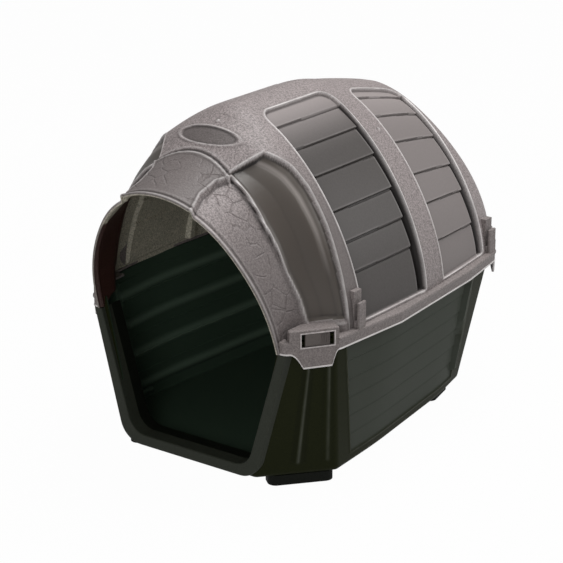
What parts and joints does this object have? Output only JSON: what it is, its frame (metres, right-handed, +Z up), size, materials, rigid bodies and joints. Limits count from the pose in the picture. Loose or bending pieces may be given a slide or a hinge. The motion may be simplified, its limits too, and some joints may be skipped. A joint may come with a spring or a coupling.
{
  "type": "dog house",
  "caption": "Moulded kennel for a large dog: ribbed roof dome with a hooded doorway, lifted off a tapered tub and held by slide latches.",
  "frame": {"origin": "middle of the outline at the level of the ground under the foot pads", "axes": "+Z up, -Y out of the doorway, +X to the right seen from the front"},
  "size_m": [0.6068, 0.8513, 0.6816],
  "materials": {
    "roof_plastic": "grained moulded plastic, grey-brown",
    "tub_plastic": "moulded plastic, dark green-charcoal",
    "latch_plastic": "moulded plastic, darker grey-brown",
    "foot_rubber": "black moulded pad"
  },
  "bodies": {
    "base": {"base_tub": "tub_plastic", "foot_pad_front_right": "foot_rubber", "foot_pad_front_left": "foot_rubber", "foot_pad_rear_right": "foot_rubber", "foot_pad_rear_left": "foot_rubber"},
    "roof": {"roof_shell": "roof_plastic"},
    "latch_front_right": {"slide_latch_front_right": "latch_plastic"},
    "latch_front_left": {"slide_latch_front_left": "latch_plastic"},
    "latch_rear_right": {"slide_latch_rear_right": "latch_plastic"},
    "latch_rear_left": {"slide_latch_rear_left": "latch_plastic"}
  },
  "joints": [
    {"name": "roof_lift", "type": "slide", "parent": "base", "child": "roof", "axis": [0, 0, 1], "range_m": [0, 0.15]},
    {"name": "latch_front_right_slide", "type": "slide", "parent": "roof", "child": "latch_front_right", "axis": [0.5922, 0.8058, 0], "range_m": [-0.006, 0.006]},
    {"name": "latch_front_left_slide", "type": "slide", "parent": "roof", "child": "latch_front_left", "axis": [-0.5922, 0.8058, 0], "range_m": [-0.006, 0.006]},
    {"name": "latch_rear_right_slide", "type": "slide", "parent": "roof", "child": "latch_rear_right", "axis": [0.5547, -0.8321, 0], "range_m": [-0.006, 0.006]},
    {"name": "latch_rear_left_slide", "type": "slide", "parent": "roof", "child": "latch_rear_left", "axis": [-0.5547, -0.8321, 0], "range_m": [-0.006, 0.006]}
  ]
}
